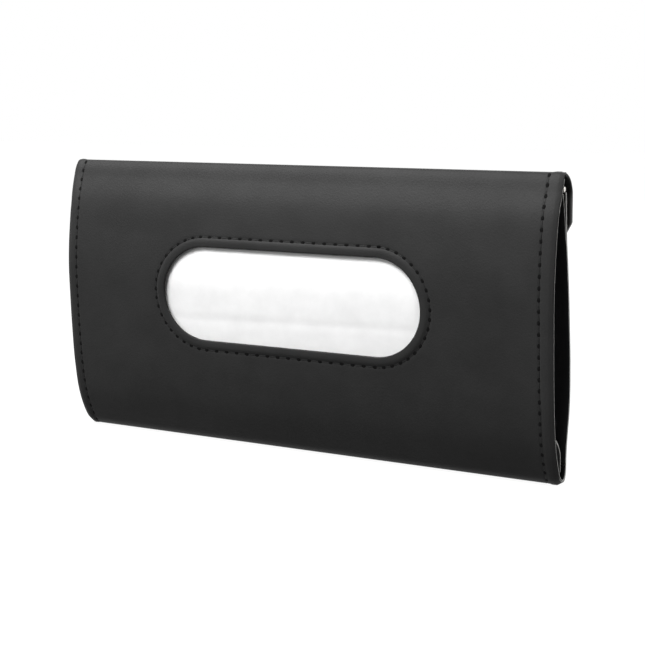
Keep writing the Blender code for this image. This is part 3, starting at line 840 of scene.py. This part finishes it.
def flap_half_width(run):
    """Half the flap's width: cut corners at the tip, a hair narrower at the crease."""
    tip_cut = CORNER_X * max(0.0, 1 - run / CORNER_RUN)
    roof_cut = 1.0 * MM * max(0.0, (run - roof_run) / (flap_line.length - roof_run))
    return FLAP_HALF - tip_cut - roof_cut


def flap_thickness(run):
    return FLAP_THICK + (ROOF_THICK - FLAP_THICK) * settle(run, roof_run - 4.5 * MM, roof_run + 1.5 * MM)


def make_flap_leather():
    sheet = cut_flat(1, 0, flap_line.length, 76, 48)
    for vert in sheet.verts:
        vert.co.x *= flap_half_width(-vert.co.y)
    lifted = bmesh.ops.extrude_face_region(sheet, geom=sheet.faces[:])["geom"]
    top = {item for item in lifted if isinstance(item, bmesh.types.BMVert)}
    for vert in sheet.verts:
        if vert not in top:
            vert.co.z = -flap_thickness(-vert.co.y)
    bmesh.ops.recalc_face_normals(sheet, faces=sheet.faces)
    rim = [e for e in sheet.edges if e.is_manifold and e.calc_face_angle(0) > 1.0
           and max(-v.co.y for v in e.verts) < flap_line.length - 0.01 * MM]
    bmesh.ops.bevel(sheet, geom=rim, offset=0.66 * MM, segments=4, profile=0.5, affect="EDGES", material=-1)
    wrap(sheet, flap_line)
    bmesh.ops.recalc_face_normals(sheet, faces=sheet.faces)
    return sheet


flap_leather = make_piece("flap_leather", make_flap_leather(), [pu_leather], None, ["flap_cover"])
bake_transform(flap_leather)

flap_way = [(-112.0 * MM, -(roof_run + 1 * MM)), (-112.2 * MM, -9.6 * MM), (-109.2 * MM, -3.8 * MM),
            (109.2 * MM, -3.8 * MM), (112.2 * MM, -9.6 * MM), (112.0 * MM, -(roof_run + 1 * MM))]
sew_rows("flap_stitches", [march(flap_way)], flap_line, "flap", lift=0.05 * MM)

# %% [markdown]
# ## Lining
# A thin black cloth lines every inside face. It is glued to the boards, and sewn to the leather at the ends,
# where its cut edge shows. The CAD lining could stay, but its facets would show through the open ends. The
# front's lining is cut like the front's leather, with the same window and oval.

# %% Lining cloth on the front
# Plain-woven polyester lining, black and matt, with threads 0.4 mm apart that only show close by
lining_cloth, tree, shader = start_material("black_lining_cloth", "#111111", 0.9, Specular_IOR_Level=0.1)
YARN_GAP = 0.3927 * MM
woven(tree, shader, (YARN_GAP, YARN_GAP), "ADD", 0.4, 0.08 * MM, ("#0d0d0e", "#161617"))
LINING_LIFT, PINCHED_LIFT = -1.9 * MM, -1.05 * MM  # over the board, and against the leather beside it
SEAM = 7.25 * MM  # from the case's end to its board


def cut_at_seams(sheet):
    for side in (-1, 1):
        for inset in (0.0, 1.5):
            cut_line(sheet, side * (HALF_CASE - SEAM + inset * MM))


def make_front_lining():
    start, end = 3.2 * MM, front_line.length - 0.05 * MM
    rows = round((end - start) / ROW)
    sheet = cut_flat(HALF_CASE - 0.05 * MM, start, end, FRONT_COLUMNS, rows)
    border = cut_window(sheet, FRONT_COLUMNS, rows, HALF_CASE, start, end)
    ring = bridge_oval(sheet, border, ROW_MARGIN)
    grow_loop(sheet, ring, 1.2 * MM, 0)
    cut_at_seams(sheet)
    board_top = front_line.run_at(111 * MM)
    for vert in sheet.verts:
        over_board = settle(HALF_CASE - abs(vert.co.x), SEAM - 1.5 * MM, SEAM)
        over_board *= settle(-vert.co.y, board_top - 3.0 * MM, board_top)
        vert.co.z = PINCHED_LIFT + (LINING_LIFT - PINCHED_LIFT) * over_board
        vert.co.z += fullness(-vert.co.y, vert.co.x) * (1 - over_board)
    lay_cloth(sheet, front_line)
    return sheet


front_cloth = make_piece("front_cloth", make_front_lining(), [lining_cloth, cut_edge], "front",
                         ["front_lining"])
thicken(front_cloth, CLOTH, 1)

# %% [markdown]
# ## The back's lining
# Up to the board's top the back is lined as the front is. Above it, leather and lining part in a narrow
# mouth that holds the steel keeper. Two separate sheets could make that mouth, but one lift that grows with
# the run does it on a single sheet.

# %% Lining cloth on the back
def make_back_lining():
    start, end = 0.05 * MM, back_line.length
    sheet = cut_flat(HALF_CASE - 0.05 * MM, start, end, 60, 90)
    cut_at_seams(sheet)
    join = back_line.run_at(99 * MM)
    for vert in sheet.verts:
        run = -vert.co.y
        over_board = settle(HALF_CASE - abs(vert.co.x), SEAM - 1.5 * MM, SEAM)
        over_board = max(over_board, settle(run, join - 3 * MM, join + 1.5 * MM))
        parting = 5.0 * MM * settle(run, join, 2 * end - join)
        vert.co.z = PINCHED_LIFT + (LINING_LIFT - PINCHED_LIFT) * over_board - parting
    lay_cloth(sheet, back_line)
    return sheet


back_cloth = make_piece("back_cloth", make_back_lining(), [lining_cloth, cut_edge], "back_panel",
                        ["back_lining"])
thicken(back_cloth, CLOTH, 1)

# %% [markdown]
# ## The flap's lining
# A patch of the same cloth covers the flap's inner face and the turned edges. Two magnets lie under it, and
# each shows as a soft round. The rounds could be sculpted, but as a rise that depends on the distance to the
# magnet they sit exactly over it.

# %% Flap lining
MAGNET_X, MAGNET_RUN = 75 * MM, flap_line.run_at(105 * MM)
FLAP_BORDER = 1.9 * MM  # from the flap's edge to its lining
MAGNET_RISE = 0.22 * MM


def make_flap_lining():
    """A patch on the flap's inner face. Each magnet stands out under it as a soft round."""
    end = flap_line.length - 3.3 * MM
    sheet = cut_flat(1, FLAP_BORDER, end, 150, 40)
    for vert in sheet.verts:
        run = -vert.co.y
        vert.co.x *= flap_half_width(run) - FLAP_BORDER
        rise = 0.0
        for side in (-1, 1):
            distance = math.hypot(vert.co.x - side * MAGNET_X, run - MAGNET_RUN)
            rise = max(rise, 1 - settle(distance, 4.5 * MM, 7.0 * MM))
        vert.co.z = -flap_thickness(run) - 0.12 * MM - MAGNET_RISE * rise
    lay_cloth(sheet, flap_line)
    return sheet


flap_cloth = make_piece("flap_cloth", make_flap_lining(), [lining_cloth], "flap", ["flap_lining"])
thicken(flap_cloth, 0.3 * MM, out=1)

# %% [markdown]
# ## Retaining strip
# A narrow leather strip along the lower inside of the front keeps the tissues in. It bellies off the lining,
# and its light cut end shows at the open side of the case. It could be a curve with a profile, but the same
# flat grid as before, lifted by half a sine wave, needs nothing new.

# %% Retaining strip
STRIP_LIFT, STRIP_BELLY, STRIP_THICK = -2.6 * MM, 3.0 * MM, 0.65 * MM
strip_start, strip_end = front_line.run_at(19 * MM), front_line.run_at(4.5 * MM)
sheet = cut_flat(HALF_CASE - 0.25 * MM, strip_start, strip_end, 60, 24)
for vert in sheet.verts:
    share = (-vert.co.y - strip_start) / (strip_end - strip_start)
    vert.co.z = STRIP_LIFT - STRIP_BELLY * math.sin(math.pi * share)
wrap(sheet, front_line)
bmesh.ops.recalc_face_normals(sheet, faces=sheet.faces)
inner_strip = make_piece("inner_strip", sheet, [pu_leather, cut_edge], "front", ["retaining_strip"])
thicken(inner_strip, STRIP_THICK, 1)

# %% [markdown]
# ## The tissue in the opening
# One tissue shows in the opening: a sheet of 155 by 190 mm, folded in three, with a soft fold mark across its
# lower third and a few slight wrinkles. Cloth physics could let it settle, but it lies pressed between the
# front and the stack. So it is folded by its length along the sheet, and swells a little into the opening.

# %% Tissue paper
# Two-ply tissue: white, fibrous and quite matt, so that it shows no gleam beside the leather
tissue_paper, tree, shader = start_material("soft_tissue_paper", "#f8f8f8", 0.95)
where = bumpy(tree, shader, 0.9 * MM, 0.05 * MM, 0.3)
mottled(tree, shader, where, "#f3f3f3", "#fafafa", 12 * MM)
TISSUE_WIDTH = 155 * MM
TISSUE_LIFT, TISSUE_GAP = -2.7 * MM, 0.2 * MM  # of its lowest layer, and from layer to layer
TISSUE_SWELL = 1.0 * MM
rng = np.random.default_rng(8)
WRINKLES = [
    (rng.uniform(-60, 40) * MM, rng.uniform(-14, 14) * MM, rng.uniform(-0.5, 0.5), rng.uniform(6, 14) * MM)
    for _ in range(9)
]  # the middle's X and run, the slant and the length of each


def inside_opening(x, run):
    """How far a point of the flat sheet is inside the opening's edge."""
    core = max(-straight, min(straight, x))
    return half_opening - math.hypot(x - core, run - opening_run)


def press(x, run):
    """How far the sheet is pressed in: one long fold mark and a few short, slight wrinkles."""
    across = run - front_line.run_at(58 * MM) + 0.03 * x
    depth = 0.10 * MM * math.exp(-(across / (2.0 * MM)) ** 2)
    for middle_x, middle_run, slant, length in WRINKLES:
        along, off = x - middle_x, run - opening_run - middle_run - slant * (x - middle_x)
        depth += 0.035 * MM * math.exp(-(along / length) ** 2 - (off / (1.6 * MM)) ** 2)
    return depth


def make_top_tissue():
    top, bottom = front_line.run_at(99.5 * MM), front_line.run_at(36.5 * MM)
    drop = bottom - top
    sheet = cut_flat(TISSUE_WIDTH / 2, 0, 1, 150, 180)
    for vert in sheet.verts:
        way = -vert.co.y * 3 * drop
        layer = min(int(way / drop), 2)
        run = top + way - drop if layer == 1 else bottom - (way - layer * drop)
        share = (opening_run + half_opening - run) / (2 * half_opening)
        inside = inside_opening(vert.co.x, min(run, opening_run))
        swell = settle(inside, -1.5 * MM, 3.0 * MM) * settle(share, -0.1, 0.8)
        vert.co.z = fullness(run, vert.co.x) + TISSUE_LIFT + TISSUE_GAP * layer + TISSUE_SWELL * swell
        vert.co.z -= press(vert.co.x, run)
        vert.co.y = -run
    return sheet, 3 * drop


sheet, tissue_length = make_top_tissue()
wrap(sheet, front_line)
bmesh.ops.translate(sheet, vec=(OPENING_X, 0, 0), verts=sheet.verts)
bmesh.ops.recalc_face_normals(sheet, faces=sheet.faces)
drawn_tissue = make_piece("drawn_tissue", sheet, [tissue_paper], "front", ["top_tissue"])
thicken(drawn_tissue, 0.08 * MM)

# %% [markdown]
# ## The stack
# The other tissues lie folded in the case like the pages of a book, and their edges show at its open ends. A
# plain block would look like a bar of soap. Sixteen thin leaves, each a hair out of line, look like a stack
# and still cost little.

# %% Folded stack
LEAF_WIDTH, LEAF_THICK = 199 * MM, 0.35 * MM
stack_front = [front_line.run_at(101 * MM), front_line.run_at(21 * MM)]
stack_back = [back_line.run_at(101 * MM), back_line.run_at(21 * MM)]


def make_stack(layers=16):
    """Thin leaves between the front's and the back's inner faces, each a hair out of line."""
    sheet = bmesh.new()
    for index in range(layers):
        share = (index + 0.5) / layers
        made = bmesh.ops.create_grid(sheet, x_segments=30, y_segments=30, size=0.5)["verts"]
        shift_x, shift_z, shrink = rng.normal(0, 0.35, 3) * MM
        for vert in made:
            part = 0.5 - vert.co.y
            near = front_line.place(stack_front[0] + part * (stack_front[1] - stack_front[0]), -4.3 * MM)
            far = back_line.place(stack_back[0] + part * (stack_back[1] - stack_back[0]), -3.2 * MM)
            x = vert.co.x * (LEAF_WIDTH + shrink) + shift_x
            y = near[0] + (far[0] - near[0]) * share
            vert.co = (x, y, near[1] + (far[1] - near[1]) * share + shift_z)
    bmesh.ops.recalc_face_normals(sheet, faces=sheet.faces)
    return sheet


folded_stack = make_piece("folded_stack", make_stack(), [tissue_paper], "front", ["tissue_stack"])
thicken(folded_stack, LEAF_THICK, out=0)

# %% [markdown]
# ## Hard pieces
# The boards and the magnets have their true shapes in CAD already, and they are hidden in the layers. They
# could be modelled again, but a plain plate gains nothing by it. So they keep their shapes, and one finish
# for the boards and one for the magnets is all they need.

# %% Board and metal
# Grey fibre board: pressed paper pulp, quite matt, with a fine mottle
fibre_board, tree, shader = start_material("grey_fibre_board", "#7e7c77", 0.9)
where = bumpy(tree, shader, 0.8 * MM, 0.10 * MM)
mottled(tree, shader, where, "#74726d", "#87857f", 3 * MM)

# Nickel plating over steel: a warm grey mirror, softened by fine rolling marks
nickel, tree, shader = start_material("nickel_plated_steel", "#d9d6d0", 0.22, Metallic=1.0)
where = node(tree, "ShaderNodeTexCoord")
marks = node(tree, "ShaderNodeMapping", [("Vector", where.outputs["Object"])])
marks.inputs["Scale"].default_value = (60, 4000, 4000)
scratch = node(tree, "ShaderNodeTexNoise", [("Vector", marks.outputs[0])], Scale=1.0, Detail=3.0)
bump = node(tree, "ShaderNodeBump", [("Height", scratch.outputs["Fac"])], Strength=0.15, Distance=0.03 * MM)
tree.links.new(bump.outputs[0], shader.inputs["Normal"])

for name, material in (
    ("front_board", fibre_board), ("back_board", fibre_board), ("flap_board", fibre_board),
    ("flap_magnet_left", nickel), ("flap_magnet_right", nickel),
):
    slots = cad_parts[name].data.materials
    slots.clear()
    slots.append(material)
print("finishes on CAD nodes: done")

# %% [markdown]
# ## The keeper
# The flap's magnets hold on a nickel-plated strip in the mouth of the back panel. Its top edge is rolled to
# a bead, so that it doesn't cut the lining, and the bead's end glints at the open side. The edge could be
# rolled loop by loop, as the lip is, but inside the mouth a rod on a strip looks the same.

# %% Steel keeper
KEEPER_FOOT, KEEPER_HEAD = Vector((1.47, 103.9)) * MM, Vector((-1.04, 119.3)) * MM  # in Y and Z
KEEPER_THICK, BEAD = 0.6 * MM, 1.05 * MM  # the strip's thickness and the bead's radius
STRIP_HALF, BEAD_HALF = 113.5 * MM, 115.0 * MM  # half their lengths


def extrude_along(sheet, outline, half_length):
    """Extrude an outline in the plane across the case to both ends."""
    face = sheet.faces.new([sheet.verts.new((-half_length, *spot)) for spot in outline])
    far = bmesh.ops.extrude_face_region(sheet, geom=[face])["geom"]
    bmesh.ops.translate(sheet, vec=(2 * half_length, 0, 0),
                        verts=[item for item in far if isinstance(item, bmesh.types.BMVert)])


def make_keeper():
    """A strip whose top edge is rolled to a bead. The bead's ends reach out of the V mouth."""
    up = (KEEPER_HEAD - KEEPER_FOOT).normalized()
    side = Vector((up.y, -up.x)) * KEEPER_THICK / 2
    middle = KEEPER_HEAD - up * BEAD
    turns = [2 * math.pi * step / 24 for step in range(24)]
    sheet = bmesh.new()
    circle = [middle + BEAD * Vector((math.cos(turn), math.sin(turn))) for turn in turns]
    extrude_along(sheet, [KEEPER_FOOT - side, KEEPER_FOOT + side, middle + side, middle - side], STRIP_HALF)
    extrude_along(sheet, circle, BEAD_HALF)
    bmesh.ops.recalc_face_normals(sheet, faces=sheet.faces)
    return sheet


keeper = make_piece("rolled_keeper", make_keeper(), [nickel], "back_panel", ["steel_keeper"], smooth=False)
rim = keeper.modifiers.new("broken edges", "BEVEL")
rim.width, rim.segments = 0.15 * MM, 2
